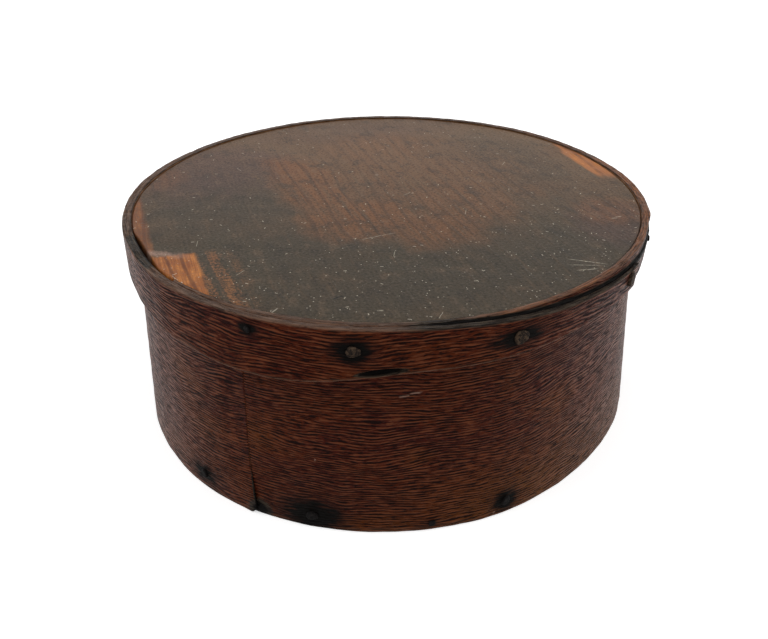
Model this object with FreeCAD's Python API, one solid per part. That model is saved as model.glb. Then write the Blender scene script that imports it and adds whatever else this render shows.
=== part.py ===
import FreeCAD, Part
import math
import os

from FreeCAD import Rotation, Vector

# An oval bentwood box with a lift-off lid, in millimetres.
# The box stands on Z = 0, long axis along Y. The end where both bands lap faces -Y.
# Every oval here is drawn with four arcs that meet where the wall faces 45 degrees.

# Box oval, measured on the inside of the side band at its upper edge
side_half_width = 86.4
side_longer = 15.0              # half length less half width
side_height = 61.6
foot_wider = 1.8                # half width at the foot over that at the upper edge
foot_aside = 1.4                # how far the foot stands towards +X of the upper edge

# Lid board, its upper edge a little wider and rounder than the rim is where it passes the box's upper edge
lid_board_wider = 0.85
lid_board_rounder = 3.2
lid_board_thickness = 9.5
lid_board_below_rim = 0.6

bottom_board_thickness = 9.0
board_fit = 0.1                 # all round, between a board and its band

# Oak bands
side_band_thickness = 3.2
lid_band_thickness = 3.2
lid_slip = 0.5                  # lid band over the thickest part of the side lap, at the box's upper edge

# Laps: a band starts at its hidden inner tip and ends at its outer tip, one turn and a lap later
side_inner_tip_facing = -150.0  # degrees from +X, as all facings are
side_outer_tip_facing = -110.4
side_feather_run = 26.0         # length over which an end is shaved down
side_tip_thickness = 0.6
side_lapped_ply = 1.9           # each ply, halfway along the lap
lid_inner_tip_facing = -128.5
lid_outer_tip_facing = -21.5
lid_feather_run = 34.0
lid_tip_thickness = 1.2
lid_lapped_ply = 2.5
rim_width = 16.4                # of the lid band at its widest
rim_fall = 2.8                  # of its upper edge, from the rim's top to its outer tip
broken_corner = 3.0             # off the foot of the side band's outer tip
lap_gap = 0.15                  # between the two plies
lap_climb_run = 9.0             # length over which the band climbs on to its inner tip

# Shares of the lid band's width and of its fall, against degrees along the strip from its inner tip
width_shares = [(0, 0.83), (50, 0.66), (105, 0.66), (330, 0.854), (385, 1.0), (420, 0.738), (467, 0.66)]
fall_shares = [(412, 0.0), (467, 1.0)]

# Hand-made nails: a square tapered shank under a hammered head
nail_length = 18.0
nail_shank_side = 1.8
nail_point_side = 0.8
nail_head_radius = 2.1
nail_head_height = 1.1
nail_head_corners = 7
nail_head_bed = 0.35            # how far a head is driven into the band
shank_corners = 4
tack_length = 3.4
tack_shank_side = 1.1
tack_point_side = 0.6
tack_head_radius = 1.6
tack_head_height = 0.55         # driven flush, so that the rim passes over it
nail_fit = 0.05                 # all round, between a nail and its hole
point_play = 0.3                # hole beyond the nail's point

# Facings of the nails round the box, with their heights above or below the middle of the board
bottom_nails = [(-125.8, 0.9), (-96.3, -0.1), (-69.9, -1.9), (-52.0, 0.2), (2.0, 0.3),
                (46.0, -0.4), (78.0, 0.2), (104.0, -0.6), (137.0, 0.4), (176.0, -0.3)]
lid_nails = [(-106.2, 1.6), (-85.8, -0.8), (-53.5, -1.0), (-24.6, -0.4), (-9.0, 1.2),
             (34.0, 0.5), (71.0, -0.3), (108.0, 0.4), (146.0, -0.5)]
lap_tack_facings = [-141.0, -120.0]
lap_tack_below_edge = 3.4       # under the rim, from the side band's upper edge

# Hammered heads: share of the radius and of the height at each ring, and how uneven the corners are
head_profile = [(0.9, 0.0), (1.0, 0.35), (0.6, 1.0)]
hammered = 0.07
hammer_wander = 2.4

# Steps used to draw a curve or to pass clear of a cut
curve_points = 9
probe_turn = 0.05
nail_room = 2.6                   # degrees of band on each side of a nail
steady = 1e-7
arc_joins = (45, 135, 225, 315)   # facings where the arcs of an oval meet


# Heights that follow from the sizes above
lid_board_underside = side_height
lid_board_top = lid_board_underside + lid_board_thickness
rim_top = lid_board_top + lid_board_below_rim


def lap_rise(thickness, lapped_ply):
    """How much thicker than one ply a lap is along its middle."""
    return 2 * lapped_ply + lap_gap - thickness


# The lid's lap stands out at the -Y end, so the ovals sit half of that towards +Y
centre_y = lap_rise(lid_band_thickness, lid_lapped_ply) / 2

# The rim passes the box's upper edge where the side band's lap is thickest
side_bulge = side_tip_thickness + lap_gap
rim_half_width = side_half_width + side_band_thickness + side_bulge + lid_slip
lid_board_half_width = rim_half_width + lid_board_wider
lid_board_longer = side_longer - lid_board_rounder


def smooth(share):
    """Rises from 0 to 1 with level ends."""
    share = min(max(share, 0.0), 1.0)
    return share * share * (3 - 2 * share)


def along(profile, turn):
    """Value of a profile at a place along a strip, eased from each of its points to the next."""
    value = profile[0][1]
    for (begin, before), (finish, after) in zip(profile, profile[1:]):
        value += (after - before) * smooth((turn - begin) / (finish - begin))
    return value


def facing_vector(facing):
    """Level unit vector that points the way a wall faces."""
    return Vector(math.cos(math.radians(facing)), math.sin(math.radians(facing)), 0)


def oval_point(oval, facing, offset):
    """Point of the four-arc oval (half width, longer, aside, height) where its wall faces this way."""
    half_width, longer, aside, height = oval
    off_middle = longer * (1 + math.sqrt(0.5))
    out = facing_vector(facing)
    if abs(out.y) > abs(out.x):
        radius = half_width - longer * math.sqrt(0.5)
        arc_centre = Vector(0, math.copysign(off_middle, out.y), 0)
    else:
        radius = half_width + off_middle
        arc_centre = Vector(-math.copysign(off_middle, out.x), 0, 0)
    return arc_centre + out * (radius + offset) + Vector(aside, centre_y, height)


def turn_of(run):
    """Degrees that a length of band turns through at the box's ends."""
    return math.degrees(run / (side_half_width - side_longer * math.sqrt(0.5)))


class LappedBand:
    """One strip bent round an oval, its shaved ends lying over each other.

    A place along it is the turn from its inner tip, in degrees: the underneath ply of the lap
    comes first, then the single ply, and past a full turn the ply on top, up to the outer tip.
    Its two faces are given as distances out from the oval, its two edges as heights.
    """

    def __init__(self, thickness, inner_tip, outer_tip, feather_run, tip_thickness, lapped_ply):
        self.thickness = thickness
        self.start = inner_tip
        self.lap = outer_tip - inner_tip
        self.feather = turn_of(feather_run)
        self.climb = turn_of(lap_climb_run)
        self.tip = tip_thickness
        self.lapped_ply = lapped_ply

    def shaving(self, turn):
        """Shares of the lap's two feathers that are passed at this turn."""
        return smooth(turn / self.feather), smooth((turn - self.lap + self.feather) / self.feather)

    def under_ply(self, turn):
        """Thickness of the ply underneath, which grows from its tip to a full ply."""
        first, last = self.shaving(turn)
        return self.tip + (self.lapped_ply - self.tip) * first + (self.thickness - self.lapped_ply) * last

    def over_ply(self, turn):
        """Thickness of the ply on top, which shrinks from a full ply to its tip."""
        first, last = self.shaving(turn)
        shaved = (self.thickness - self.lapped_ply) * first + (self.lapped_ply - self.tip) * last
        return self.thickness - shaved

    def faces(self, turn):
        """Distances of the inner and the outer face from the oval."""
        if turn < self.lap:
            return 0.0, self.under_ply(turn)
        if turn < 360:
            climbed = (self.tip + lap_gap) * smooth(1 - (360 - turn) / self.climb)
            return climbed, climbed + self.thickness
        inside = self.under_ply(turn - 360) + lap_gap
        return inside, inside + self.over_ply(turn - 360)

    def outside(self, facing):
        """Distance of the band's outermost face from the oval where the wall faces this way."""
        turn = (facing - self.start) % 360
        return self.faces(turn + 360 if turn <= self.lap else turn)[1]

    def beside(self, facings):
        """Turns just before and just past each nail, in both plies, so that its hole lies in a short face."""
        turns = [(facing - self.start) % 360 for facing in facings]
        return [turn + whole + side * nail_room for turn in turns for whole in (0, 360) for side in (-1, 1)]

    def breaks(self, corners):
        """Turns at which one piece of curve ends and the next begins."""
        feathers = [0, self.feather, self.lap - self.feather, self.lap]
        turns = feathers + [360 + turn for turn in feathers] + [360 - self.climb] + corners
        turns += [join - self.start + whole for join in arc_joins for whole in (-360, 0, 360)]
        return sorted({round(turn, 6) for turn in turns if 0 <= turn <= 360 + self.lap})

    def solid(self, oval_at, lower, upper, corners):
        """The strip on the ovals of a wall, between two edges given as heights along it."""
        def point(turn, face, edge):
            return oval_point(oval_at(edge(turn)), self.start + turn, self.faces(turn)[face])

        def line(begin, finish, face, edge):
            """Edge of the strip between two breaks: an arc where it runs steadily."""
            step = (finish - begin) / (curve_points - 1)
            turns = [begin + step * count for count in range(curve_points - 1)] + [finish]
            runs = [self.faces(turn)[face] for turn in turns], [edge(turn) for turn in turns]
            if max(max(run) - min(run) for run in runs) < steady:
                return Part.Arc(*[point(turn, face, edge) for turn in turns[::curve_points // 2]]).toShape()
            spline = Part.BSplineCurve()
            spline.interpolate(
                Points=[point(turn, face, edge) for turn in turns],
                InitialTangent=point(begin + probe_turn, face, edge) - point(begin, face, edge),
                FinalTangent=point(finish, face, edge) - point(finish - probe_turn, face, edge),
            )
            return spline.toShape()

        skin = []
        breaks = self.breaks(corners)
        for span in zip(breaks, breaks[1:]):
            low_in, low_out = [line(*span, face, lower) for face in (0, 1)]
            high_in, high_out = [line(*span, face, upper) for face in (0, 1)]
            for pair in ((low_in, low_out), (high_in, high_out), (low_in, high_in), (low_out, high_out)):
                skin += Part.makeLoft([Part.Wire(edge) for edge in pair], False, True).Faces
        for tip in (breaks[0], breaks[-1]):
            end = [point(tip, face, edge) for face, edge in ((0, lower), (1, lower), (1, upper), (0, upper))]
            skin.append(Part.Face(Part.makePolygon(end + end[:1])))
        return closed(skin)


def closed(skin):
    """Solid inside a set of faces that meet edge to edge."""
    shell = Part.makeShell(skin)
    shell.sewShape()
    return Part.makeSolid(shell)


def oval_outline(oval, offset):
    """Closed wire of the four arcs, moved out by an offset."""
    arcs = []
    for join, after in zip(arc_joins, arc_joins[1:] + (arc_joins[0] + 360,)):
        facings = [join, (join + after) / 2, after]
        arcs.append(Part.Arc(*[oval_point(oval, facing, offset) for facing in facings]).toShape())
    return Part.Wire(arcs)


def side_oval(height):
    """Inside of the side band at a height: it leans out straight from its upper edge to its foot."""
    share = 1 - height / side_height
    return side_half_width + foot_wider * share, side_longer, foot_aside * share, height


def lid_oval(height):
    """Inside of the lid band at a height: it leans straight from the box's shape to the lid board's."""
    share = (height - side_height) / (lid_board_top - side_height)
    half_width = rim_half_width + (lid_board_half_width - rim_half_width) * share
    longer = side_longer + (lid_board_longer - side_longer) * share
    return half_width, longer, 0, height


def board(low_oval, high_oval):
    """Flat board cut to fit inside a band."""
    outlines = [oval_outline(oval, -board_fit) for oval in (low_oval, high_oval)]
    return Part.makeLoft(outlines, True, True)


def ring(across, distance, corners, turned, uneven):
    """Corners of a polygon square to X: a hammered outline whose corners lie a little in or out."""
    points = []
    for corner in range(corners):
        angle = 2 * math.pi * corner / corners + turned
        radius = across * (1 + uneven * math.sin(hammer_wander * corner + turned))
        points.append(Vector(distance, radius * math.cos(angle), radius * math.sin(angle)))
    return points


def faceted(rings):
    """Flat-sided solid through rings of as many corners each."""
    outlines = [rings[0], rings[-1]]
    for near, far in zip(rings, rings[1:]):
        sides = zip(near, near[1:] + near[:1], far[1:] + far[:1], far)
        outlines += [list(side) for side in sides]
    return closed([Part.Face(Part.makePolygon(outline + outline[:1])) for outline in outlines])


class Nail:
    """A kind of nail. It is drawn along X with the face that it is driven into at X = 0."""

    def __init__(self, length, shank_side, point_side, head_radius, head_height, head_bed):
        self.length = length
        self.shank_side = shank_side
        self.point_side = point_side
        self.head_radius = head_radius
        self.head_height = head_height
        self.head_bed = head_bed

    def head(self, turned, grown):
        """Hammered head, its underside let into the wood by its bed."""
        rings = []
        for across, high in head_profile:
            distance = self.head_height * high - self.head_bed + grown * (2 * high - 1)
            radius = self.head_radius * across + grown
            rings.append(ring(radius, distance, nail_head_corners, turned, hammered))
        return faceted(rings)

    def shank(self, grown, play):
        """Square shank that tapers to its point. It starts inside the head."""
        corner = math.sqrt(0.5)
        thick, thin = [side * corner + grown / corner for side in (self.shank_side, self.point_side)]
        in_head = self.head_height / 2 - self.head_bed
        at_point = -self.length - play
        return faceted([
            ring(thick, in_head, shank_corners, math.pi / shank_corners, 0),
            ring(thin, at_point, shank_corners, math.pi / shank_corners, 0),
        ])

    def driven(self, oval, facing, band, number, grown=0.0, play=0.0):
        """The nail driven level into a band's outer face, or the hole that it needs when it is grown."""
        shape = self.head(float(number), grown).fuse(self.shank(grown, play)).removeSplitter()
        face = oval_point(oval, facing, band.outside(facing))
        shape.Placement = FreeCAD.Placement(face, Rotation(Vector(0, 0, 1), facing))
        return shape


nail = Nail(nail_length, nail_shank_side, nail_point_side,
            nail_head_radius, nail_head_height, nail_head_bed)
tack = Nail(tack_length, tack_shank_side, tack_point_side,
            tack_head_radius, tack_head_height, tack_head_height)


def fasten(pieces, fastener, name, band, places):
    """Drives a row of nails, adds each one as a piece, and returns the holes that they need."""
    holes = []
    for number, (facing, oval) in enumerate(places, 1):
        pieces[f"{name}_{number:02d}"] = fastener.driven(oval, facing, band, number)
        holes.append(fastener.driven(oval, facing, band, number, nail_fit, point_play))
    return holes


def box_pieces():
    """The box: a lapped band nailed round a bottom board."""
    band = LappedBand(side_band_thickness, side_inner_tip_facing, side_outer_tip_facing,
                      side_feather_run, side_tip_thickness, side_lapped_ply)
    board_middle = bottom_board_thickness / 2
    nail_places = [(facing, side_oval(board_middle + above)) for facing, above in bottom_nails]
    tack_places = [(facing, side_oval(side_height - lap_tack_below_edge)) for facing in lap_tack_facings]
    fasteners = {}
    nail_holes = fasten(fasteners, nail, "bottom_nail", band, nail_places)
    tack_holes = fasten(fasteners, tack, "lap_tack", band, tack_places)
    tip = 360 + band.lap
    whole = tip - turn_of(broken_corner)
    wall = band.solid(
        side_oval,
        lambda turn: broken_corner * max(0, (turn - whole) / (tip - whole)),
        lambda turn: side_height,
        [whole] + band.beside([facing for facing, oval in nail_places + tack_places]),
    )
    return {
        "side_band": wall.cut(nail_holes + tack_holes),
        "bottom_board": board(side_oval(0), side_oval(bottom_board_thickness)).cut(nail_holes),
        **fasteners,
    }


def lid_pieces():
    """The lid: a lapped rim nailed round a board that rests on the box's upper edge."""
    band = LappedBand(lid_band_thickness, lid_inner_tip_facing, lid_outer_tip_facing,
                      lid_feather_run, lid_tip_thickness, lid_lapped_ply)
    board_middle = (lid_board_underside + lid_board_top) / 2
    nail_places = [(facing, lid_oval(board_middle + above)) for facing, above in lid_nails]
    fasteners = {}
    holes = fasten(fasteners, nail, "lid_nail", band, nail_places)
    shaped_at = [turned for turned, share in width_shares + fall_shares]
    rim = band.solid(
        lid_oval,
        lambda turn: rim_top - rim_width * along(width_shares, turn),
        lambda turn: rim_top - rim_fall * along(fall_shares, turn),
        shaped_at + band.beside([facing for facing, oval in nail_places]),
    )
    return {
        "lid_band": rim.cut(holes),
        "lid_board": board(lid_oval(lid_board_underside), lid_oval(lid_board_top)).cut(holes),
        **fasteners,
    }


os.makedirs("parts", exist_ok=True)
for node, shape in {**box_pieces(), **lid_pieces()}.items():
    shape.exportStep(f"parts/{node}.step")
    print(node, shape.isValid(), len(shape.Solids), f"{shape.Volume:.1f} mm3")
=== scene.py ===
import math

import bpy
import numpy as np
from mathutils import Matrix, Vector


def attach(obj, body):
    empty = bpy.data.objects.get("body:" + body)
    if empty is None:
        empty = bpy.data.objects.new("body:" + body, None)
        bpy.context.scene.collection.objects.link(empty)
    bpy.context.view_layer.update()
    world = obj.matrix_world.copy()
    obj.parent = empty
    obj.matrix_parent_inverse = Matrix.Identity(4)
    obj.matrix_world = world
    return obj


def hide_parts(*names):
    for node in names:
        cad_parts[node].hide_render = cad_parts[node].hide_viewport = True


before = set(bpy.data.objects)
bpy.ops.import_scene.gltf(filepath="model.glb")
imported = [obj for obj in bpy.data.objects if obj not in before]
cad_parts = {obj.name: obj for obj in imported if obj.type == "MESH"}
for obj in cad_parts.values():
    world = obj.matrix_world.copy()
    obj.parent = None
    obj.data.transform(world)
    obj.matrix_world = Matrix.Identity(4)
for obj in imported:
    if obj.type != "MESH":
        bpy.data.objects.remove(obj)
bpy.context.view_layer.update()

# Looks of an oval bentwood box with a lift-off lid, around its solids.
# Shapes are worked out in millimetres, a facing is in degrees from +X, and meshes are in metres.
MM = 0.001
SQRT_HALF = math.sqrt(0.5)

# Camera, fitted to the photograph's ovals: place in millimetres, angles in radians
CAMERA_PLACE = (46.84, -327.94, 192.00)
CAMERA_TURNED = -0.1452
CAMERA_DOWN = 0.4813
CAMERA_ROLLED = 0.0092
CAMERA_LENS = 44.127

# Ovals and heights, as the solids have them
CENTRE_Y = 0.975
SIDE_HALF_WIDTH = 86.4
SIDE_LONGER = 15.0
SIDE_HEIGHT = 61.6
FOOT_WIDER = 1.8
FOOT_ASIDE = 1.4
RIM_HALF_WIDTH = 90.85
LID_HALF_WIDTH = 91.7
LID_LONGER = 11.8
LID_BOARD_TOP = 71.1
LID_BOARD_THICKNESS = 9.5
BOTTOM_BOARD_THICKNESS = 9.0
RIM_TOP = 71.7
RIM_WIDTH = 16.4
RIM_FALL = 2.8
END_RADIUS = SIDE_HALF_WIDTH - SIDE_LONGER * SQRT_HALF

# Laps: (inner tip's facing, outer tip's facing, feather, thickness at a tip, thickness of a lapped ply)
PLY = 3.2
SIDE_LAP = (-150.0, -110.4, 26.0, 0.6, 1.9)
RIM_LAP = (-128.5, -21.5, 34.0, 1.2, 2.5)
LAP_GAP = 0.15
LAP_CLIMB = 26.0

# The rim's width and its upper edge's fall, as (degrees from the inner tip, share of the whole)
WIDTH_SHARES = [(0, 0.83), (50, 0.66), (105, 0.66), (330, 0.854), (385, 1.0), (420, 0.738), (467, 0.66)]
FALL_SHARES = [(412, 0.0), (467, 1.0)]

# Nails: (facing, height, share of the full head, stain's run along the grain, its height, its strength)
BOTTOM_NAILS = [(-125.8, 5.4, 0.7, 6.5, 3.6, 1.1), (-96.3, 4.4, 0.85, 11.0, 6.5, 1.15),
                (-69.9, 2.6, 0.5, 2.6, 1.8, 0.8), (-52.0, 4.7, 0.8, 5.0, 4.2, 1.15),
                (2.0, 4.8, 0.9, 7.0, 4.0, 1.0), (46.0, 4.1, 0.9, 9.0, 5.0, 1.1),
                (78.0, 4.7, 0.9, 6.0, 4.0, 0.9), (104.0, 3.9, 0.9, 6.0, 4.0, 1.0),
                (137.0, 4.9, 0.9, 10.0, 5.5, 1.1), (176.0, 4.2, 0.9, 7.0, 4.0, 0.9)]
LID_NAILS = [(-106.2, 67.95, 0.5, 2.8, 1.9, 1.3), (-85.8, 65.55, 0.92, 5.8, 3.3, 1.3),
             (-53.5, 65.35, 1.1, 8.5, 2.7, 1.25), (-24.6, 65.95, 1.2, 3.0, 2.4, 0.9),
             (-9.0, 67.55, 0.5, 3.5, 2.5, 0.9), (34.0, 66.85, 0.9, 7.0, 3.0, 1.1),
             (71.0, 66.05, 1.0, 9.0, 3.5, 1.2), (108.0, 66.75, 0.9, 7.0, 3.0, 1.1),
             (146.0, 65.85, 1.0, 6.0, 3.0, 1.1)]
LAP_TACKS = [(-141.0, 58.2, 1.0, 1.5, 1.0, 0.6), (-120.0, 58.2, 1.0, 1.5, 1.0, 0.6)]
NAIL_LENGTH = 18.0
NAIL_HEAD_RADIUS = 2.1
TACK_LENGTH = 3.4
TACK_HEAD_RADIUS = 1.6
TACK_SUNK = 0.05
SMALL_HEAD = 0.6

# Points of a strip: steps along it, and points along a face, along an edge and round an arris
STRIP_STEPS = 970
SECTION_POINTS = (40, 4, 5)

# Damage on the bands, each painted dark inside as painted shade: (facing, half its width in degrees, height
# over the lower edge, half its height)
SPLIT_IN_RIM = (-80.3, 6.0, 1.25, 1.25)
BROKEN_FOOT = (-109.3, 2.4, 1.8, 2.6)
BROKEN_CORNER = 1.8

# Places on the rim, in degrees from its inner tip: (begin, end) of the worn-open inner ply, with painted
# shade in the groove above the outer ply, (begin, end) of the painted shade in the gap by the lap, and where
# its upper edge begins to be rounded
INNER_PLY_OPEN = (48, 125)
DARK_POCKET = (336, 354)
UPPER_EDGE_ROUNDED = 405

# Chip in a board's edge: (facing, half its width in degrees, depth)
LID_CHIP = (-145.0, 6.5, 1.4)
NO_CHIP = (0.0, 1.0, 0.0)

# Patches on the lid board, whose grain is turned from +Y: (across, along, half width, half length, amount)
GRAIN_TURN = math.radians(-26)
RED_PATCHES = [(-25.0, 20.0, 14.0, 32.0, 0.9), (14.0, 16.0, 44.0, 44.0, 0.42),
               (-14.0, -20.0, 24.0, 20.0, 0.85), (8.0, -34.0, 18.0, 22.0, 0.7),
               (24.0, -14.0, 20.0, 26.0, 0.6), (14.0, 56.0, 30.0, 20.0, 0.5),
               (74.0, -36.0, 14.0, 14.0, 0.55), (-78.0, 42.0, 8.0, 14.0, 0.4),
               (48.0, -8.0, 20.0, 10.0, 0.3)]
PLUM_PATCHES = [(-62.0, 48.0, 34.0, 34.0, 1.0), (10.0, 84.0, 50.0, 16.0, 0.5),
                (70.0, -50.0, 16.0, 24.0, 0.9)]
DARK_PATCHES = [(-60.0, 14.0, 26.0, 30.0, 0.8), (0.0, -76.0, 60.0, 20.0, 0.7),
                (60.0, 24.0, 18.0, 40.0, 0.6), (-40.0, -44.0, 20.0, 20.0, 0.5),
                (50.0, -60.0, 26.0, 16.0, 0.5)]
RIGHT_BACK_EDGE = 84.6
RING_SPACING = 5.2
RIB_SPACING = 0.95

# Scratches: (x and y of one end, x and y of the other, half width), and on the side band x and z instead
LID_SCRATCHES = [(-3.8, -44.5, 8.5, -35.0, 0.28), (63.9, -47.6, 77.8, -50.0, 0.45),
                 (66.8, -56.4, 74.5, -53.6, 0.4), (64.0, -52.5, 76.0, -51.0, 0.3),
                 (82.0, -8.3, 84.6, -6.9, 0.5), (80.5, -9.6, 83.0, -9.0, 0.4),
                 (10.4, -93.6, 12.6, -93.2, 0.6), (-18.9, -100.9, -17.3, -96.2, 0.4),
                 (-30.0, -100.0, -24.0, -97.5, 0.3)]
LID_DENTS = [(-3.2, -88.8, -1.6, -86.4, 0.7), (-1.8, -86.6, -0.2, -86.2, 0.5),
             (-35.6, -44.3, -34.8, -44.0, 0.6)]
SIDE_SCRATCHES = [(18.0, 48.0, 21.5, 48.4, 0.5), (21.0, 48.9, 25.2, 49.2, 0.4),
                  (-6.5, 24.6, -6.1, 25.4, 0.4), (47.2, 1.3, 48.0, 1.7, 0.4)]

# Studio, in metres and watts: lamps as (name, place, width, power), and the shares of white that others give
LAMPS = [("lamp_left", (-0.9, -0.35, 1.1), 1.0, 5.0), ("lamp_right", (0.95, 0.1, 1.0), 0.9, 4.0)]
LAMP_AIM = (0, 0, 0.03)
FLOOR_HALF_WIDTH = 6.0
WHITE = (1, 1, 1, 1)
FLOOR_PAINT = (0.84, 0.84, 0.84, 1)
FLOOR_GLOW = 0.56
SKY_STRENGTH = 0.6


def smooth(share):
    """Rises from 0 to 1 with level ends: 3 s^2 - 2 s^3."""
    share = np.clip(share, 0.0, 1.0)
    return share * share * (3 - 2 * share)


def along(profile, turn):
    """Value of a profile along a strip: smooth steps from each of its points to the next."""
    value = np.full_like(turn, profile[0][1])
    for (begin, before), (finish, after) in zip(profile, profile[1:]):
        value += (after - before) * smooth((turn - begin) / (finish - begin))
    return value


def wander(place, size, seed, waves=7):
    """Uneven line: a sum of sines whose lengths run from a size down, with seeded phases."""
    draw = np.random.default_rng(seed)
    total = np.zeros_like(place, dtype=float)
    for wave in range(waves):
        length = size / (1.0 + 0.9 * wave)
        total += np.sin(2 * np.pi * place / length + draw.uniform(0, 2 * np.pi)) / (1.0 + wave)
    return total / 1.8


def oval(half_width, longer, aside, facing, offset):
    """Plan of a four-arc oval at a facing: the centre of the arc there, plus its radius along the facing."""
    cos, sin = np.cos(np.radians(facing)), np.sin(np.radians(facing))
    off_middle = longer * (1 + SQRT_HALF)
    at_end = np.abs(sin) > np.abs(cos)
    radius = offset + np.where(at_end, half_width - longer * SQRT_HALF, half_width + off_middle)
    across = radius * cos - np.where(at_end, 0, np.sign(cos) * off_middle)
    lengthwise = radius * sin + np.where(at_end, np.sign(sin) * off_middle, 0)
    return across + aside, lengthwise + CENTRE_Y


def side_oval(height):
    """Half width, length beyond it and shift of the side band's inside, which leans out to its foot."""
    share = 1 - height / SIDE_HEIGHT
    return SIDE_HALF_WIDTH + FOOT_WIDER * share, SIDE_LONGER, FOOT_ASIDE * share


def rim_oval(height):
    """The same of the rim, which leans in a straight line from the box's oval to the lid board's."""
    share = (height - SIDE_HEIGHT) / (LID_BOARD_TOP - SIDE_HEIGHT)
    half_width = RIM_HALF_WIDTH + (LID_HALF_WIDTH - RIM_HALF_WIDTH) * share
    return half_width, SIDE_LONGER + (LID_LONGER - SIDE_LONGER) * share, 0


def turn_of(run):
    """Degrees that a length of band turns through at the box's ends."""
    return math.degrees(run / END_RADIUS)


def strip_faces(lap, turn):
    """Distances of a lapped strip's two faces from its oval, against degrees from its inner tip.

    Up to the overlap's end it is the inner ply, and past a full turn the outer one. In between it climbs by
    a smooth step. Each ply thins to its tip by a smooth step over the feather.
    """
    inner_tip, outer_tip, feather_run, tip, lapped = lap
    overlap, feather = outer_tip - inner_tip, turn_of(feather_run)

    def plies(turned):
        first, last = smooth(turned / feather), smooth((turned - overlap + feather) / feather)
        under = tip + (lapped - tip) * first + (PLY - lapped) * last
        return under, PLY - (PLY - lapped) * first - (lapped - tip) * last

    climbed = (tip + LAP_GAP) * smooth(1 - (360 - turn) / turn_of(LAP_CLIMB))
    under, over = plies(turn)[0], plies(turn - 360)[1]
    inside = plies(turn - 360)[0] + LAP_GAP
    near = np.where(turn < overlap, 0.0, np.where(turn < 360, climbed, inside))
    far = np.where(turn < overlap, under, np.where(turn < 360, climbed + PLY, inside + over))
    return near, far


def outer_place(lap, facing):
    """Degrees from the inner tip to the strip's outermost ply at a facing."""
    turn = (facing - lap[0]) % 360
    return turn + 360 if turn <= lap[1] - lap[0] else turn


def rounded_section(face_points, edge_points, corner_points):
    """Rectangle with rounded corners: shares of its depth and height, and unit pushes round its corners."""
    rows = []
    for corner, (deep, tall) in enumerate([(1, 0), (1, 1), (0, 1), (0, 0)]):
        angles = np.radians(90 * corner - 90 + np.linspace(0, 90, corner_points))
        rows += [(deep, tall, math.cos(angle), math.sin(angle)) for angle in angles]
        count = face_points if corner % 2 == 0 else edge_points
        step_deep, step_tall = [(0, 1), (-1, 0), (0, -1), (1, 0)][corner]
        for share in np.linspace(0, 1, count)[1:-1]:
            rows.append((deep + step_deep * share, tall + step_tall * share, step_tall, -step_deep))
    return np.array(rows).T


def grid_faces(rows, columns):
    """Quads of a grid that closes on itself along its columns."""
    row, column = np.meshgrid(np.arange(rows - 1), np.arange(columns), indexing="ij")
    here, beside = row * columns + column, row * columns + (column + 1) % columns
    return np.stack([here + columns, beside + columns, beside, here], -1).reshape(-1, 4)


def make_piece(name, points, attributes=None):
    """Closed mesh of rings of points in millimetres: quads between the rings, one polygon on each end."""
    rows, columns = points.shape[:2]
    faces = grid_faces(rows, columns).tolist()
    faces += [list(range(columns)), list(range((rows - 1) * columns, rows * columns))[::-1]]
    mesh = bpy.data.meshes.new(name)
    mesh.from_pydata((points.reshape(-1, 3) * MM).tolist(), [], faces)
    for label, values in (attributes or {}).items():
        kind, field = ("FLOAT_VECTOR", "vector") if values.shape[-1] == 3 else ("FLOAT", "value")
        values = np.ascontiguousarray(values, dtype=np.float32).ravel()
        mesh.attributes.new(label, kind, "POINT").data.foreach_set(field, values)
    mesh.shade_smooth()
    mesh.validate()
    mesh.update()
    piece = bpy.data.objects.new(name, mesh)
    bpy.context.scene.collection.objects.link(piece)
    return piece


def stains(run, height, outward, lap, nails, runs):
    """Iron stain round nails: bells over the distance, long along the grain. The strongest counts."""
    stain = np.zeros_like(height)
    for facing, nail_height, _, length, rise, strength in nails:
        middle = np.interp(outer_place(lap, facing), *runs)
        far = np.sqrt(((run - middle) / length) ** 2 + ((height - nail_height) / rise) ** 2)
        stain = np.maximum(stain, strength * np.exp(-far ** 1.6) * outward)
    return stain


def side_damage(turn, height, outward, *_):
    """The side's outer end leans, lies flat above and stands off below, with painted shade in its crack and
    at its broken foot.

    Gives a shift in degrees, a push outwards in mm, a share that is pressed flat, and painted shade from 0
    to 1. Each is a smooth step over the last degrees before the tip, times a step or a bell over the height.
    """
    end = 360 + SIDE_LAP[1] - SIDE_LAP[0]
    facing, half_turn, middle, half_height = BROKEN_FOOT
    upright_at, lifted_below, pressed_over, crack_below = 5.8, 19, 4, 18

    def near_tip(degrees):
        return smooth((turn - end + degrees) / degrees)

    lean = np.clip(0.5 - 0.1 * (height - upright_at), -0.8, 0.9) * near_tip(12)
    lifted = 0.5 * smooth((lifted_below - height) / lifted_below) * near_tip(4.5)
    flat = near_tip(9) * smooth((height - pressed_over) / 14)
    # Painted shade: dark in the crack under the lifted end and in the broken foot, where the gap lies in
    # shadow
    crack = 0.8 * near_tip(0.4) * smooth((crack_below - height) / 9)
    off = ((SIDE_LAP[0] + turn - facing + 180) % 360 - 180) / half_turn
    bell = np.exp(-off ** 2 - ((height - middle) / half_height) ** 2)
    broken = bell * 1.5 * np.minimum(1, 2 * outward)
    return lean, lifted, flat, np.maximum(crack, broken)


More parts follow.
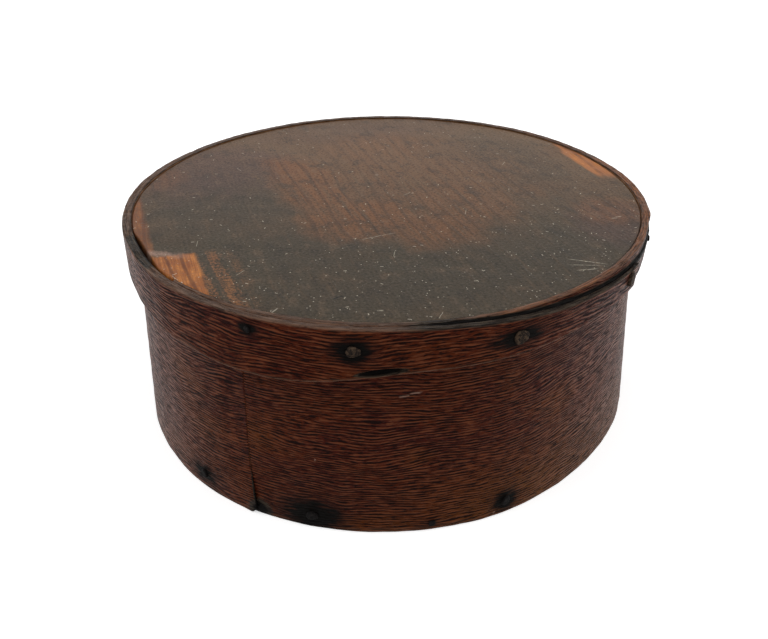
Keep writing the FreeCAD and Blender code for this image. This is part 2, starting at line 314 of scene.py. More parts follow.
def rim_damage(turn, height, outward, low, high):
    """The rim's lower edge has split, and painted shade darkens the split, the groove above the outer ply
    and the gap by the lap.

    Gives the same four values as the side's damage. Where it lies open above the outer ply, the inner ply is
    rubbed back by a smooth step over the height. The outer ply's upper edge is darker past
    UPPER_EDGE_ROUNDED.
    """
    facing, half_turn, above, half_height = SPLIT_IN_RIM
    open_from, open_to = INNER_PLY_OPEN
    pocket_from, pocket_to = DARK_POCKET
    split_depth, rubbed_depth = 1.2, 0.75
    off = (RIM_LAP[0] + turn - 360 - facing) / half_turn
    # Painted shade in the split of the lower edge
    split = smooth(1.1 * (1 - off ** 2 - ((height - low - above) / half_height) ** 2)) * outward
    over = height - rim_upper_edge(turn + 360)
    open_run = smooth((turn - open_from) / 12) * (turn < open_to)
    rubbed = open_run * smooth((over + 0.5) / 0.7) * outward
    # Painted shade in the groove just above the outer ply's edge
    groove = open_run * np.exp(-np.maximum(over - 0.1, 0) / 0.2) * smooth((over + 2.0) / 1.0) * outward
    upper = smooth((turn - UPPER_EDGE_ROUNDED) / 14) * smooth((height - high + 1.0) / 1.0)
    # Painted shade in the gap between the rim's inside and the board by the lap
    pocket = smooth((turn - pocket_from) / 4) * smooth((pocket_to - turn) / 4) * (1 - outward)
    shade_and_darkening = np.maximum(np.maximum(split, groove), np.maximum(upper * 0.42, pocket))
    return 0 * off, -split_depth * split - rubbed_depth * rubbed, 0 * off, shade_and_darkening


def band(name, lap, oval_at, low_edge, high_edge, nails, damage, arris, seed):
    """Strip carried round an oval: a rectangle with rounded arrises between two faces and two edges.

    Its outer face and its edges waver by sums of sines along the strip. The mesh keeps where each point lies
    on the strip, how far out it is, how near to the edges, how stained and warm it is, how dark (painted
    shade in its cracks and gaps, and a darker upper edge), and a painted sheen on its sides at right angles
    to facing -82.
    """
    inner_tip, outer_tip = lap[:2]
    turn = np.linspace(0, 360 + outer_tip - inner_tip, STRIP_STEPS)[:, None]
    near, far = strip_faces(lap, turn)
    low, high = low_edge(turn), high_edge(turn)
    deep, tall, push_out, push_up = rounded_section(*SECTION_POINTS)
    corner = np.minimum(arris, 0.45 * (far - near))
    depth = (near + far) / 2 + ((far - near) / 2 - corner) * (2 * deep - 1) + corner * push_out
    height = low + corner + (high - low - 2 * corner) * tall + corner * push_up
    outward = smooth((push_out + 1) / 2) + 0 * depth
    plan = oval(*oval_at(low), inner_tip + turn, (near + far) / 2)
    arc = np.concatenate([[0], np.cumsum(np.hypot(*[np.diff(line[:, 0]) for line in plan]))])
    run = arc[:, None] + 0 * depth
    lean, push, flat, shade_and_darkening = damage(turn, height, outward, low, high)
    uneven = 0.13 * wander(run, 70, seed) + 0.07 * wander(run + 9 * height, 17, seed + 1)
    worn = np.maximum(0, push_up) * (0.10 + 0.16 * np.abs(wander(run, 23, seed + 2)))
    worn_below = -np.minimum(0, push_up) * 0.12 * np.abs(wander(run, 31, seed + 3))
    depth = depth - 0.85 * flat * (depth - near) * outward - 0.1 * flat
    depth = depth + uneven * (0.25 + 0.75 * outward) * np.minimum(1, (far - near) / PLY) * (1 - flat) - 0.13
    depth = depth + push
    height = height - worn + worn_below
    across, lengthwise = oval(*oval_at(height), inner_tip + turn + lean, depth)
    edge = np.minimum(height - low, high - height) / (corner + 1e-6)
    warm = np.cos(np.radians(inner_tip + turn + 8))
    # Painted sheen: paler on the sides at right angles to facing -82, the side the camera faces
    painted_sheen = np.abs(np.sin(np.radians(inner_tip + turn + 82)))
    return make_piece(name, np.stack([across, lengthwise, height], -1), {
        "strip": np.stack([run, height, depth], -1),
        "outward": outward,
        "top_edge": np.clip(1 - (high - height) / 0.9, 0, 1),
        "near_edge": np.clip(1.5 - edge, 0, 1),
        "stain": stains(run, height, outward, lap, nails, (turn[:, 0], arc)),
        "shade_and_darkening": np.clip(shade_and_darkening + 0 * depth, 0, 1),
        "warm": smooth((warm - 0.25) / 0.6) + 0 * depth,
        "painted_sheen": smooth((painted_sheen - 0.45) / 0.55) + 0 * depth,
    })


def board(name, oval_at, base, thickness, gap, arris, chip, seed):
    """Flat board on an oval: rings from the middle of its top, round its arris, down its edge and back.

    A chip in its edge is a flat bell over the facing: depth * exp(-(way off its middle / half its width)^4).
    The top is slightly hollow, by sums of sines along and across it.
    """
    inward = np.concatenate([np.linspace(0.012, 0.9, 66), np.linspace(0.9, 1, 14)[1:-1]])
    bend = np.radians(np.linspace(0, 90, 6))
    straight = np.linspace(-arris, arris - thickness, 7)[1:-1]
    edge_in = np.concatenate([arris * (1 - np.sin(bend)), 0 * straight, arris * (1 - np.cos(bend))])
    edge_up = np.concatenate([-arris * (1 - np.cos(bend)), straight,
                              arris - thickness - arris * np.sin(bend)])
    share = np.concatenate([inward, np.ones(len(edge_in)), inward[::-1]])[:, None]
    shrink = np.concatenate([np.full(len(inward), arris), edge_in, np.full(len(inward), arris)])[:, None]
    down = np.concatenate([np.zeros(len(inward)), edge_up, np.full(len(inward), -thickness)])[:, None]
    facing = np.linspace(-180, 180, 440, endpoint=False)[None, :]
    height = base + thickness + down + 0 * facing
    chip_at, half_turn, chip_depth = chip
    chipped = chip_depth * np.exp(-((facing - chip_at) / half_turn) ** 4)
    ragged = 0.12 * np.abs(wander(facing * 1.6, 31, seed)) + chipped
    across, lengthwise = oval(*oval_at(height), facing, -gap - shrink - ragged)
    across, lengthwise = across * share, (lengthwise - CENTRE_Y) * share + CENTRE_Y
    hollow = 0.10 * wander(across + 0.3 * lengthwise, 90, seed + 1)
    hollow = hollow + 0.05 * wander(lengthwise, 40, seed + 2) - 0.12
    height = height + hollow * np.where(down > -thickness / 2, 1, 0) * share ** 0.5
    return make_piece(name, np.stack([across, lengthwise, height], -1))


def nail(name, oval_at, lap, facing, height, head, length, radius, sunk, seed):
    """Forged nail: rings along its axis, from a hammered head's crown to a square shank and its point.

    A ring is (place out of the band, radius, how square it is). A round ring's radius wavers by three sines,
    a square one's is half its width over the larger of cos and sin, and seeded slopes tilt the crown.
    """
    thick = radius * 0.43
    crown = 0.42 * radius * min(head, 1) * (1 if sunk == 0 else 0.02)
    rings = [(crown * 0.86, 0.05, 0), (crown * 0.9, 0.35, 0), (crown, 0.62, 0), (crown * 0.82, 0.82, 0),
             (crown * 0.4, 0.97, 0), (0.0, 1.0, 0), (-0.3, 0.97, 0), (-0.33, 0.5, 0.6)]
    head_rings = [(reach - sunk, share * radius * head, square) for reach, share, square in rings]
    shank = [(-0.5, thick, 1), (-length * 0.5, thick * 0.75, 1), (-length + 0.6, thick * 0.42, 1),
             (-length, 0.15, 1)]
    profile = np.array(head_rings + shank)
    angle = np.linspace(0, 2 * np.pi, 32, endpoint=False)[None, :]
    square = 1 / np.maximum(np.abs(np.cos(angle)), np.abs(np.sin(angle)))
    draw = np.random.default_rng(seed)
    phases = draw.uniform(0, 2 * np.pi, 3)
    hammered = 0.09 * np.sin(2 * angle + phases[0]) + 0.06 * np.sin(3 * angle + phases[1])
    hammered = hammered + 0.04 * np.sin(7 * angle + phases[2])
    blow = draw.uniform(-0.16, 0.16, 2)
    out, radial, squared = profile.T[:, :, None]
    reach = radial * (1 + squared * (square - 1) * 0.9 + (1 - squared) * hammered)
    sideways, upward = reach * np.cos(angle), reach * np.sin(angle) * 0.92
    tilt = (blow[0] * sideways + blow[1] * upward) * np.where(out + sunk > 0.05, 1, 0)
    out = np.minimum(out + tilt, crown - sunk) + 0 * angle
    away = strip_faces(lap, np.array([outer_place(lap, facing)]))[1][0]
    centre = [float(value) for value in oval(*oval_at(height), facing, away)]
    cos, sin = math.cos(math.radians(facing)), math.sin(math.radians(facing))
    across, lengthwise = centre[0] + out * cos - sideways * sin, centre[1] + out * sin + sideways * cos
    return make_piece(name, np.stack([across, lengthwise, height + upward], -1))


# A full and a quarter turn in radians, near enough for a hair
FULL_TURN = 6.28
QUARTER_TURN = 1.57

# A Mix node's colour sockets share their names with others, so they go by number
MIX_FACTOR = 0
MIX_FIRST = 6
MIX_SECOND = 7
MIX_COLOUR = 2


class Signal:
    """Something that varies over a surface. Arithmetic on it adds Math nodes."""

    def __init__(self, finish, socket):
        self.finish = finish
        self.socket = socket

    def math(self, operation, *values):
        return self.finish.node("ShaderNodeMath", {"operation": operation}, dict(enumerate(values)))

    def __add__(self, other):
        return self.math("ADD", self, other)

    def __radd__(self, other):
        return self.math("ADD", other, self)

    def __sub__(self, other):
        return self.math("SUBTRACT", self, other)

    def __rsub__(self, other):
        return self.math("SUBTRACT", other, self)

    def __mul__(self, other):
        return self.math("MULTIPLY", self, other)

    def __rmul__(self, other):
        return self.math("MULTIPLY", other, self)

    def __truediv__(self, other):
        return self.math("DIVIDE", self, other)

    def __pow__(self, power):
        return self.math("POWER", self, power)

    def sine(self):
        return self.math("SINE", self)

    def size(self):
        return self.math("ABSOLUTE", self)

    def over(self, other):
        """The larger of the two."""
        return self.math("MAXIMUM", self, other)


class Finish:
    """A material under construction."""

    def __init__(self, tree):
        self.tree = tree

    def node(self, kind, settings, inputs, outputs=(0,)):
        """Adds a node, with its settings and its sockets' values or links, and gives some of its outputs."""
        made = self.tree.nodes.new(kind)
        for key, value in settings.items():
            setattr(made, key, value)
        for key, value in inputs.items():
            if isinstance(value, Signal):
                self.tree.links.new(value.socket, made.inputs[key])
            else:
                made.inputs[key].default_value = value
        given = [Signal(self, made.outputs[output]) for output in outputs if made.outputs]
        return given[0] if len(given) == 1 else given

    def split(self, vector):
        """The three parts of a vector."""
        return self.node("ShaderNodeSeparateXYZ", {}, {0: vector}, (0, 1, 2))

    def joined(self, *parts):
        """A vector from its three parts."""
        return self.node("ShaderNodeCombineXYZ", {}, dict(enumerate(parts)))

    def noise(self, vector, detail=2.0, roughness=0.5):
        """Clouds with features about 1 across: the place is divided by their size first."""
        sockets = {"Vector": vector, "Scale": 1.0, "Detail": detail, "Roughness": roughness}
        return self.node("ShaderNodeTexNoise", {}, sockets)

    def step(self, value, low, high):
        """Smooth step from 0 at low to 1 at high, which may be the smaller one."""
        ends = {"Value": value, "From Min": low, "From Max": high}
        return self.node("ShaderNodeMapRange", {"interpolation_type": "SMOOTHSTEP"}, ends)

    def mix(self, factor, first, second):
        """The first colour where the factor is 0, and the second where it is 1."""
        settings = {"data_type": "RGBA", "clamp_factor": True}
        sockets = {MIX_FACTOR: factor, MIX_FIRST: first, MIX_SECOND: second}
        return self.node("ShaderNodeMix", settings, sockets, (MIX_COLOUR,))

    def read(self, attribute, output="Fac"):
        """An attribute of the mesh: its value, or with Vector its three parts."""
        return self.node("ShaderNodeAttribute", {"attribute_name": attribute}, {}, (output,))

    def place(self, turned=0.0, scale=1000.0):
        """Position on the object, in millimetres unless scaled otherwise, turned about Z."""
        spot = self.node("ShaderNodeTexCoord", {}, {}, ("Object",))
        sockets = {"Vector": spot, "Rotation": (0, 0, turned), "Scale": (scale,) * 3}
        return self.node("ShaderNodeMapping", {}, sockets)

    def patches(self, across, lengthwise, spots, wobble):
        """Soft uneven patches: a step over the way from each middle, over its size. The strongest counts."""
        total = None
        for middle_across, middle_along, half_width, half_length, amount in spots:
            off, ahead = across - middle_across, lengthwise - middle_along
            far = (off / half_width) ** 2.0 + (ahead / half_length) ** 2.0
            patch = self.step(far + wobble, 1.7, 0.1) * amount
            total = patch if total is None else total.over(patch)
        return total

    def scratches(self, x, y, marks, wobble):
        """Straight scratches: a narrow ridge across each, a fade at its ends. The strongest counts."""
        total = None
        for from_x, from_y, to_x, to_y, half_width in marks:
            half = math.hypot(to_x - from_x, to_y - from_y) / 2
            cos, sin = (to_x - from_x) / 2 / half, (to_y - from_y) / 2 / half
            x_off, y_off = x - (from_x + to_x) / 2, y - (from_y + to_y) / 2
            length, width = x_off * cos + y_off * sin, y_off * cos - x_off * sin + wobble
            scratch = self.step(length.size(), half, half * 0.5) * self.step(width.size(), half_width, 0.0)
            total = scratch if total is None else total.over(scratch)
        return 0.0 if total is None else total

    def fibres(self, across, lengthwise, cell, half_length, half_width, share):
        """Short straight hairs, each turned its own way: one in each of a share of the cells."""
        spot = self.joined(across / cell, lengthwise / cell, 0.0)
        sockets = {"Vector": spot, "Scale": 1.0}
        settings = {"voronoi_dimensions": "2D"}
        chance, middle = self.node("ShaderNodeTexVoronoi", settings, sockets, ("Color", "Position"))
        turn, luck, _ = self.split(chance)
        off = self.node("ShaderNodeVectorMath", {"operation": "SUBTRACT"}, {0: spot, 1: middle})
        x, y, _ = self.split(off)
        cos, sin = (turn * FULL_TURN + QUARTER_TURN).sine(), (turn * FULL_TURN).sine()
        length, width = (x * cos + y * sin) * cell, (y * cos - x * sin) * cell
        hair = self.step(length.size(), half_length, half_length * 0.7)
        hair = hair * self.step(width.size(), half_width, 0.0)
        return hair * self.step(luck, 1 - share, 1 - share + 0.01)

    def surface(self, colour, roughness, relief, depth, **constants):
        """Ends the material: varying colour, roughness and relief on one shader with steady settings."""
        normal = self.node("ShaderNodeBump", {}, {"Height": relief, "Distance": depth, "Strength": 1.0})
        sockets = {"Base Color": colour, "Roughness": roughness, "Normal": normal, **constants}
        shader = self.node("ShaderNodeBsdfPrincipled", {}, sockets)
        self.node("ShaderNodeOutputMaterial", {}, {"Surface": shader})


def new_material(name):
    """Empty material, and the finish that fills it."""
    material = bpy.data.materials.new(name)
    material.use_nodes = True
    material.node_tree.nodes.clear()
    return material, Finish(material.node_tree)


def tint(red, green, blue):
    """Linear colour from the red, green and blue that a paint chart gives, 0 to 255."""
    channels = [value / 255 for value in (red, green, blue)]
    return tuple(c / 12.92 if c <= 0.04045 else ((c + 0.055) / 1.055) ** 2.4 for c in channels) + (1.0,)


def oak(name, worn_top, fiery, checked, marks):
    """Old varnished oak: dark pores between raised ribs, black round the iron, raw and paler inside, with
    painted sheen on its sides and painted shade in its cracks and gaps.

    Shares from 0 to 1 say how worn its upper edge is, with painted shade on its inner side, how orange its
    patches are and how much long cracks check it where the painted sheen lies. Its marks are scratches.
    """
    material, coat = new_material(name)
    run, height, depth = coat.split(coat.read("strip", "Vector"))
    outward, top_edge, near_edge = coat.read("outward"), coat.read("top_edge"), coat.read("near_edge")
    stain, shade_and_darkening, warm, painted_sheen = coat.read("stain"), coat.read("shade_and_darkening"), coat.read("warm"), coat.read("painted_sheen")
    sway = coat.noise(coat.joined(run / 44.0, height / 18.0, 0.0)) * 8.0
    sway = sway + coat.noise(coat.joined(run / 11.0, height / 5.0, 4.0), 1.0) * 0.8
    grain = height + sway
    beat = (grain * (2 * math.pi / RIB_SPACING)).sine()
    broken = coat.noise(coat.joined(run / 4.8, grain / 0.42, depth / 0.8), 2.0, 0.6)
    long = coat.noise(coat.joined(run / 17.0, grain / 0.5, 7.0), 2.0, 0.6)
    fleck = coat.noise(coat.joined(run / 1.6, grain / 0.3, depth / 0.4), 1.0)
    cloud = coat.noise(coat.joined(run / 22.0, grain / 9.0, depth / 9.0), 3.0, 0.6)
    patch = coat.noise(coat.joined(run / 40.0 + 3.0, height / 24.0, 5.0))
    ribbing = broken + beat * 0.10
    pore = coat.step(ribbing + (fleck - 0.5) * 0.34, 0.52, 0.61)
    rib = coat.step(ribbing + (fleck - 0.5) * 0.14, 0.47, 0.36)
    colour = coat.mix(coat.step(cloud, 0.34, 0.64), tint(58, 15, 6), tint(76, 29, 8))
    colour = coat.mix(coat.step(patch, 0.50, 0.72) * fiery, colour, tint(94, 48, 10))
    colour = coat.mix(coat.step(patch, 0.44, 0.30) * 0.5, colour, tint(48, 14, 14))
    golden = coat.step(height + cloud * 20.0, 42.0, 10.0) * (warm * 0.8 + 0.1) * fiery
    colour = coat.mix(golden, colour, tint(112, 67, 18))
    # Raised ribs: paler and pinker where the painted sheen lies
    raised = coat.mix(painted_sheen, tint(116, 66, 42), tint(146, 102, 86))
    colour = coat.mix(rib * (painted_sheen * 0.3 + 0.6), colour, raised)
    colour = coat.mix(pore * 0.95, colour, tint(14, 2, 1))
    # Long checks, real cracks, shown mostly where the painted sheen lies; their pale lines are partly
    # painted sheen
    colour = coat.mix(coat.step(long, 0.46, 0.36) * painted_sheen * checked * 0.8, colour, tint(132, 104, 90))
    colour = coat.mix(coat.step(long, 0.52, 0.60) * (painted_sheen * 0.6 + 0.3) * checked, colour, tint(14, 4, 2))
    raw = coat.mix(cloud, tint(112, 78, 52), tint(134, 98, 68))
    raw = coat.mix(pore * 0.4, raw, tint(74, 46, 30))
    colour = coat.mix(outward, raw, colour)
    line = coat.noise(coat.joined(run / 8.0, depth / 0.42, height / 0.6), 2.0, 0.6)
    rubbed = coat.mix(coat.step(cloud, 0.4, 0.6), tint(104, 72, 56), tint(148, 90, 52))
    bare = coat.mix(warm, tint(84, 68, 58), rubbed)
    bare = coat.mix(coat.step(line, 0.47, 0.58) * 0.8, bare, tint(38, 24, 18))
    bare = coat.mix(coat.step(line + (fleck - 0.5) * 0.4, 0.42, 0.30) * 0.55, bare, tint(140, 112, 94))
    # Painted shade: the inner side of the worn upper edge dark, where the rim stands above the board
    bare = coat.mix(coat.step(outward, 0.46, 0.25) * 0.85, bare, tint(28, 22, 16))
    colour = coat.mix(coat.step(top_edge + (line - 0.5) * 0.9, 0.35, 0.65) * worn_top, colour, bare)
    # Paler along the arrises of the outer face
    pale_arris = near_edge * coat.step(fleck + cloud, 0.75, 1.1) * outward * 0.7
    colour = coat.mix(pale_arris, colour, tint(122, 90, 72))
    halo = coat.step(stain + (cloud - 0.5) * 0.6, 0.05, 0.6)
    colour = coat.mix(halo * 0.5, colour, tint(30, 12, 10))
    ragged = stain + (coat.noise(coat.joined(run / 5.5, grain / 0.75, 3.0), 2.0, 0.6) - 0.5) * 1.3
    # Painted shade in cracks, the split, the groove and the gap, and the darker upper edge: grey, then near
    # black; the black also marks the iron stain
    shade_grey = coat.mix(coat.step(line, 0.4, 0.6), tint(64, 54, 44), tint(26, 20, 17))
    colour = coat.mix(coat.step(shade_and_darkening, 0.05, 0.35), colour, shade_grey)
    black = (coat.step(ragged, 0.30, 0.78) * coat.step(stain, 0.04, 0.25)).over(coat.step(shade_and_darkening, 0.45, 0.9))
    colour = coat.mix(black, colour, tint(7, 5, 4))
    x, y, z = coat.split(coat.place())
    scraped = coat.scratches(x, z, marks, (fleck - 0.5) * 0.6)
    scraped = scraped * coat.step(y, 0.0, -1.0) * coat.step(fleck, 0.3, 0.55)
    colour = coat.mix(scraped * 0.7, colour, tint(176, 140, 122))
    relief = rib * 0.45 - pore * 0.6 + cloud * 0.4 - coat.step(line, 0.5, 0.64) * top_edge
    coat.surface(colour, pore * 0.2 + black * 0.2 + 0.36, relief, 0.00024, IOR=1.13)
    return material


def pine_boards(coat):
    """Softwood signals: places across and along the grain, late wood of the growth rings, and fibre."""
    across, lengthwise, height = coat.split(coat.place(GRAIN_TURN))
    drift = coat.noise(coat.joined(across / 24.0, lengthwise / 110.0, height / 30.0)) * 16.0
    drift = drift + coat.noise(coat.joined(across / 8.0, lengthwise / 90.0, 3.0), 1.0) * 5.0
    ring = ((across + drift) * (2 * math.pi / RING_SPACING)).sine() * 0.5 + 0.5
    fibre = coat.noise(coat.joined(across / 0.5, lengthwise / 9.0, height / 0.6), 3.0, 0.6)
    return across, lengthwise, coat.step(ring + (fibre - 0.5) * 0.3, 0.66, 1.0), fibre


def plain_pine(name):
    """Old softwood, unfinished."""
    material, coat = new_material(name)
    _, _, late_wood, fibre = pine_boards(coat)
    colour = coat.mix(fibre, tint(120, 92, 66), tint(150, 120, 88))
    colour = coat.mix(late_wood * 0.7, colour, tint(84, 56, 38))
    coat.surface(colour, fibre * 0.2 + 0.6, late_wood * 0.3 + fibre * 0.5, 0.0002, IOR=1.25)
    return material


def patinated_pine(name):
    """Softwood under a dark speckled patina, lighter behind by a painted sheen, redder where it was rubbed,
    bare at its left and back edges.
    """
    material, coat = new_material(name)
    across, lengthwise, late_wood, fibre = pine_boards(coat)
    mottle = coat.noise(coat.joined(across / 0.9, lengthwise / 1.1, 2.0), 3.0, 0.7)
    blotch = coat.noise(coat.joined(across / 6.0, lengthwise / 9.0, 5.0), 3.0, 0.6)
    cloud = coat.noise(coat.joined(across / 26.0, lengthwise / 32.0, 7.0), 3.0, 0.6)
    streak = coat.noise(coat.joined(across / 1.9, lengthwise / 26.0, 8.0), 2.0, 0.55)
    wobble = (cloud - 0.5) * 3.4 + (blotch - 0.5) * 1.6 + (streak - 0.5) * 0.9
    x, y, _ = coat.split(coat.place())
    # Painted sheen: a share that rises towards the back
    painted_back_sheen = coat.step(y - x * 0.15 + (cloud - 0.5) * 60.0, -60.0, 70.0)

    # Patina: a painted sheen makes it lighter and browner behind and greyer to the front, then its patches,
    # streaks, blotches and specks
    colour = coat.mix(painted_back_sheen, tint(67, 57, 42), tint(112, 86, 62))
    umber = coat.mix(painted_back_sheen, tint(64, 50, 34), tint(92, 64, 42))
    colour = coat.mix(coat.step(cloud, 0.40, 0.62) * 0.5, colour, umber)
    dark = coat.patches(across, lengthwise, DARK_PATCHES, wobble)
    colour = coat.mix(dark * 0.75, colour, tint(56, 49, 38))
    red = coat.patches(across, lengthwise, RED_PATCHES, wobble)
    colour = coat.mix(coat.patches(across, lengthwise, PLUM_PATCHES, wobble) * 0.6, colour, tint(80, 56, 50))
    colour = coat.mix(red * coat.step(streak, 0.15, 0.65) * 0.9, colour, tint(124, 77, 42))
    colour = coat.mix(late_wood * (red * 0.45 + 0.06), colour, tint(50, 34, 22))
    colour = coat.mix(coat.step(streak, 0.56, 0.78) * 0.3, colour, tint(112, 86, 62))
    colour = coat.mix(coat.step(blotch, 0.52, 0.66) * 0.4, colour, tint(34, 29, 24))
    colour = coat.mix(coat.step(blotch, 0.46, 0.30) * 0.3, colour, tint(118, 94, 72))
    colour = coat.mix(coat.step(mottle, 0.50, 0.64) * 0.6, colour, tint(27, 22, 18))
    colour = coat.mix(coat.step(mottle, 0.44, 0.30) * 0.35, colour, tint(118, 104, 88))

    # Bare wood at the left corner and the left and back edges, with a pale border along the corner
    edge = (blotch - 0.5) * 5.0 + (mottle - 0.5) * 2.0 + (streak - 0.5) * 4.0
    wood = coat.mix(coat.step(fibre, 0.35, 0.65), tint(152, 86, 38), tint(204, 130, 62))
    wood = coat.mix(coat.step(blotch, 0.42, 0.62) * 0.6, wood, tint(122, 68, 36))
    wood = coat.mix(late_wood * 0.75, wood, tint(84, 42, 22))
    corner = coat.step(across + edge * 0.25, -75.0, -76.4) * coat.step(lengthwise + edge * 0.3, -32.5, -34.5)
    strip = coat.step(across + edge * 0.35, -87.2, -89.4) * coat.step(lengthwise + edge, 32.0, 22.0)
    reddish = coat.mix(0.65, wood, tint(104, 60, 40))
    colour = coat.mix(strip * coat.step(mottle, 0.2, 0.6) * 0.85, colour, reddish)
    colour = coat.mix(corner * coat.step(mottle, 0.25, 0.4), colour, wood)
    speckled = coat.step(across + edge * 1.2, -60.0, -72.0) * coat.step(lengthwise + edge, -31.0, -39.0)
    speckled = speckled * coat.step(mottle + blotch * 0.4 + late_wood * 0.15, 0.80, 0.60)
    colour = coat.mix(speckled * 0.7, colour, coat.mix(0.35, tint(122, 80, 50), wood))
    border = coat.step((lengthwise + edge * 0.9 + 31.5 + (across + 86.0) * 0.5).size(), 3.4, 0.4)
    border = border * coat.step(across + edge * 1.2, -74.0, -86.0) * coat.step(mottle, 0.3, 0.5)
    colour = coat.mix(border * 0.75, colour, tint(158, 128, 112))
    inward = across + edge * 0.8 - (lengthwise - 12.0) ** 2.0 * 0.003
    back = coat.step(inward, RIGHT_BACK_EDGE, RIGHT_BACK_EDGE + 3.0)
    back = back * coat.step(lengthwise + edge * 0.8, -8.0, 2.0)
    colour = coat.mix(back * 0.9, colour, coat.mix(coat.step(blotch, 0.3, 0.7), wood, tint(176, 112, 66)))

    # Dust, hairs, scratches and dents on top, more of the dust to the front
    near = coat.step(lengthwise + (cloud - 0.5) * 60.0, 10.0, -60.0)
    cells = coat.joined(across / 1.7, lengthwise / 1.7, 0.5)
    dust = coat.node("ShaderNodeTexVoronoi", {}, {"Vector": cells, "Scale": 1.0})
    size = coat.noise(coat.joined(across / 4.0, lengthwise / 4.0, 9.0), 1.0, 0.5)
    grit = coat.step(dust, 0.15, 0.08) * coat.step(size + near * 0.12, 0.60, 0.66)
    hairs = coat.fibres(across + edge * 0.1, lengthwise, 6.0, 0.6, 0.22, 0.15)
    hairs = hairs.over(coat.fibres(across + 31.0, lengthwise + edge * 0.2, 24.0, 2.4, 0.16, 0.2) * 0.6)
    scratches = coat.scratches(x, y, LID_SCRATCHES, edge * 0.15) * coat.step(mottle, 0.35, 0.55) * 0.6
    colour = coat.mix(coat.scratches(x, y, LID_DENTS, 0.0), colour, tint(8, 7, 6))
    colour = coat.mix(grit.over(hairs).over(scratches) * 0.9, colour, tint(206, 196, 176))
    relief = late_wood * 0.2 + fibre * 0.3 + mottle * 0.6
    coat.surface(colour, mottle * 0.25 + 0.34, relief, 0.0002, IOR=1.21)
    return material


def iron(name, dull, rubbed):
    """Forged iron under dull rust, rubbed brighter on its high spots."""
    material, coat = new_material(name)
    coarse = coat.noise(coat.place(scale=900.0), 3.0, 0.6)
    fine = coat.noise(coat.place(scale=3200.0), 2.0, 0.6)
    colour = coat.mix(coat.step(coarse, 0.46, 0.62), dull, coat.mix(0.5, dull, rubbed))
    colour = coat.mix(coat.step(fine, 0.5, 0.75) * 0.8, colour, rubbed)
    coat.surface(colour, fine * 0.3 + 0.5, coarse + fine * 0.5, 0.0003, IOR=1.16)
    return material


def dress(piece, material, body, slot, *nodes):
    """Gives a piece its material and its place in the object."""
    piece.data.materials.append(material)
    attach(piece, body)
    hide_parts(*nodes)


def make_camera():
    """Camera at the photograph's place: its axes are the view's right and up, rolled, and the way back."""
    cos, sin = math.cos(CAMERA_TURNED), math.sin(CAMERA_TURNED)
    level = Vector((cos, -sin, 0))
    ahead = Vector((sin, cos, 0)) * math.cos(CAMERA_DOWN) - Vector((0, 0, math.sin(CAMERA_DOWN)))
    upright = level.cross(ahead)
    right = math.cos(CAMERA_ROLLED) * level + math.sin(CAMERA_ROLLED) * upright
    up = math.cos(CAMERA_ROLLED) * upright - math.sin(CAMERA_ROLLED) * level
    data = bpy.data.cameras.new("camera")
    data.lens = CAMERA_LENS
    data.clip_start = 0.01
    camera = bpy.data.objects.new("camera", data)
    bpy.context.scene.collection.objects.link(camera)
    axes = Matrix((right, up, -ahead)).transposed().to_4x4()
    camera.matrix_world = Matrix.Translation(Vector(CAMERA_PLACE) * MM) @ axes
    bpy.context.scene.camera = camera


def plain_rays(coat):
    """1 for a ray that should see the plain background: from the camera, a gloss or a glass."""
    rays = ("Is Camera Ray", "Is Glossy Ray", "Is Transmission Ray")
    camera, glossy, glass = coat.node("ShaderNodeLightPath", {}, {}, rays)
    return camera.over(glossy).over(glass)


def make_studio():
    """White surroundings, a pale floor that keeps the object's shadow, and two large soft lamps."""
    world = bpy.data.worlds.new("studio")
    world.use_nodes = True
    bpy.context.scene.world = world
    world.node_tree.nodes.clear()
    coat = Finish(world.node_tree)
    strength = plain_rays(coat) * (1 - SKY_STRENGTH) + SKY_STRENGTH
    sky = coat.node("ShaderNodeBackground", {}, {"Color": WHITE, "Strength": strength})
    coat.node("ShaderNodeOutputWorld", {}, {"Surface": sky})

    size = FLOOR_HALF_WIDTH
    corners = [(-size, -size, 0), (size, -size, 0), (size, size, 0), (-size, size, 0)]
    mesh = bpy.data.meshes.new("floor")
    mesh.from_pydata(corners, [], [(0, 1, 2, 3)])
    floor = bpy.data.objects.new("floor", mesh)
    bpy.context.scene.collection.objects.link(floor)
    material, coat = new_material("pale_floor")
    paint = coat.node("ShaderNodeBsdfDiffuse", {}, {"Color": FLOOR_PAINT})
    glow = coat.node("ShaderNodeEmission", {}, {"Color": WHITE, "Strength": plain_rays(coat) * FLOOR_GLOW})
    both = coat.node("ShaderNodeAddShader", {}, {0: paint, 1: glow})
    coat.node("ShaderNodeOutputMaterial", {}, {"Surface": both})
    floor.data.materials.append(material)

    for name, place, width, power in LAMPS:
        data = bpy.data.lights.new(name, "AREA")
        data.shape = "DISK"
        data.size = width
        data.energy = power
        lamp = bpy.data.objects.new(name, data)
        lamp.location = place
        lamp.rotation_euler = (Vector(LAMP_AIM) - Vector(place)).to_track_quat("-Z", "Y").to_euler()
        bpy.context.scene.collection.objects.link(lamp)


def side_upper_edge(turn):
    """Upper edge of the side band, which is level."""
    return SIDE_HEIGHT + 0 * turn


def side_lower_edge(turn):
    """Lower edge of the side band: level, then a slope up along the broken corner at its outer tip."""
    end = 360 + SIDE_LAP[1] - SIDE_LAP[0]
    whole = end - turn_of(BROKEN_CORNER)
    return BROKEN_CORNER * np.clip((turn - whole) / (end - whole), 0, 1)


def rim_lower_edge(turn):
    """Lower edge of the rim, whose width changes in smooth steps as it goes round."""
    return RIM_TOP - RIM_WIDTH * along(WIDTH_SHARES, turn)


def rim_upper_edge(turn):
    """Upper edge of the rim, which falls in a smooth step to its outer tip."""
    return RIM_TOP - RIM_FALL * along(FALL_SHARES, turn)


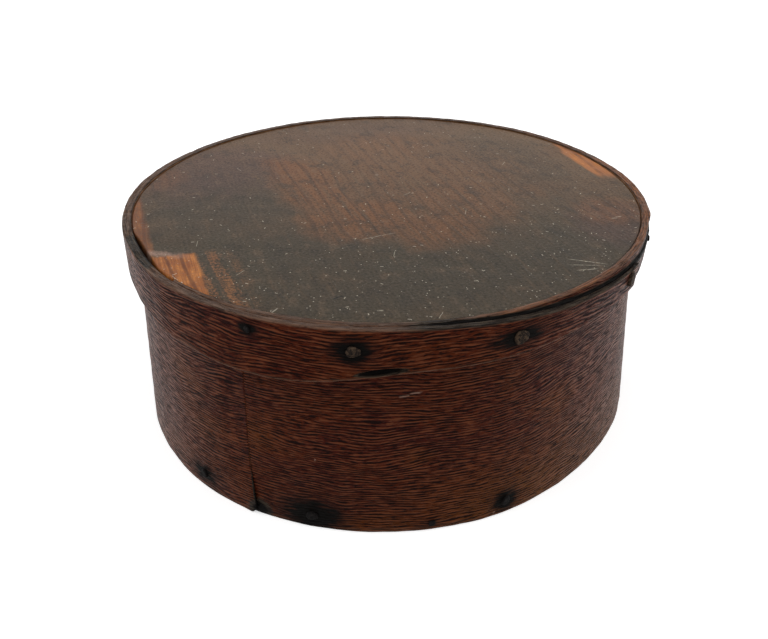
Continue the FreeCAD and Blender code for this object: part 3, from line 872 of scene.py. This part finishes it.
bpy.context.scene.view_settings.view_transform = "Standard"
make_camera()
make_studio()

side = band("side_of_oak", SIDE_LAP, side_oval, side_lower_edge, side_upper_edge,
            BOTTOM_NAILS, side_damage, arris=0.5, seed=11)
side_finish = oak("old_side_oak", worn_top=0.3, fiery=0.65, checked=0.3, marks=SIDE_SCRATCHES)
dress(side, side_finish, "box", "side_oak", "side_band")
rim = band("rim_of_oak", RIM_LAP, rim_oval, rim_lower_edge, rim_upper_edge,
           LID_NAILS, rim_damage, arris=0.55, seed=23)
rim_finish = oak("old_rim_oak", worn_top=0.95, fiery=0.2, checked=0.9, marks=[])
dress(rim, rim_finish, "lid", "rim_oak", "lid_band")
top = board("top_of_pine", rim_oval, SIDE_HEIGHT, LID_BOARD_THICKNESS,
            gap=0.18, arris=0.6, chip=LID_CHIP, seed=31)
dress(top, patinated_pine("old_lid_pine"), "lid", "lid_pine", "lid_board")
base = board("base_of_pine", side_oval, 0.0, BOTTOM_BOARD_THICKNESS,
             gap=0.15, arris=0.4, chip=NO_CHIP, seed=41)
dress(base, plain_pine("plain_bottom_pine"), "box", "bottom_pine", "bottom_board")

brown_iron = iron("brown_iron", tint(24, 18, 15), tint(94, 76, 60))
black_iron = iron("black_iron", tint(9, 7, 7), tint(34, 29, 28))
nail_size = (NAIL_LENGTH, NAIL_HEAD_RADIUS, 0.0)
tack_size = (TACK_LENGTH, TACK_HEAD_RADIUS, TACK_SUNK)
nail_rows = [("bottom_nail", "box", side_oval, SIDE_LAP, BOTTOM_NAILS, nail_size, black_iron),
             ("lid_nail", "lid", rim_oval, RIM_LAP, LID_NAILS, nail_size, brown_iron),
             ("lap_tack", "box", side_oval, SIDE_LAP, LAP_TACKS, tack_size, black_iron)]
for row, body, oval_at, lap, nails, nail_measures, metal in nail_rows:
    for number, (facing, height, head, *_) in enumerate(nails, 1):
        node = f"{row}_{number:02d}"
        forged = nail(node + "_forged", oval_at, lap, facing, height, head, *nail_measures, number)
        dress(forged, metal if head > SMALL_HEAD else black_iron, body, "iron_nail", node)
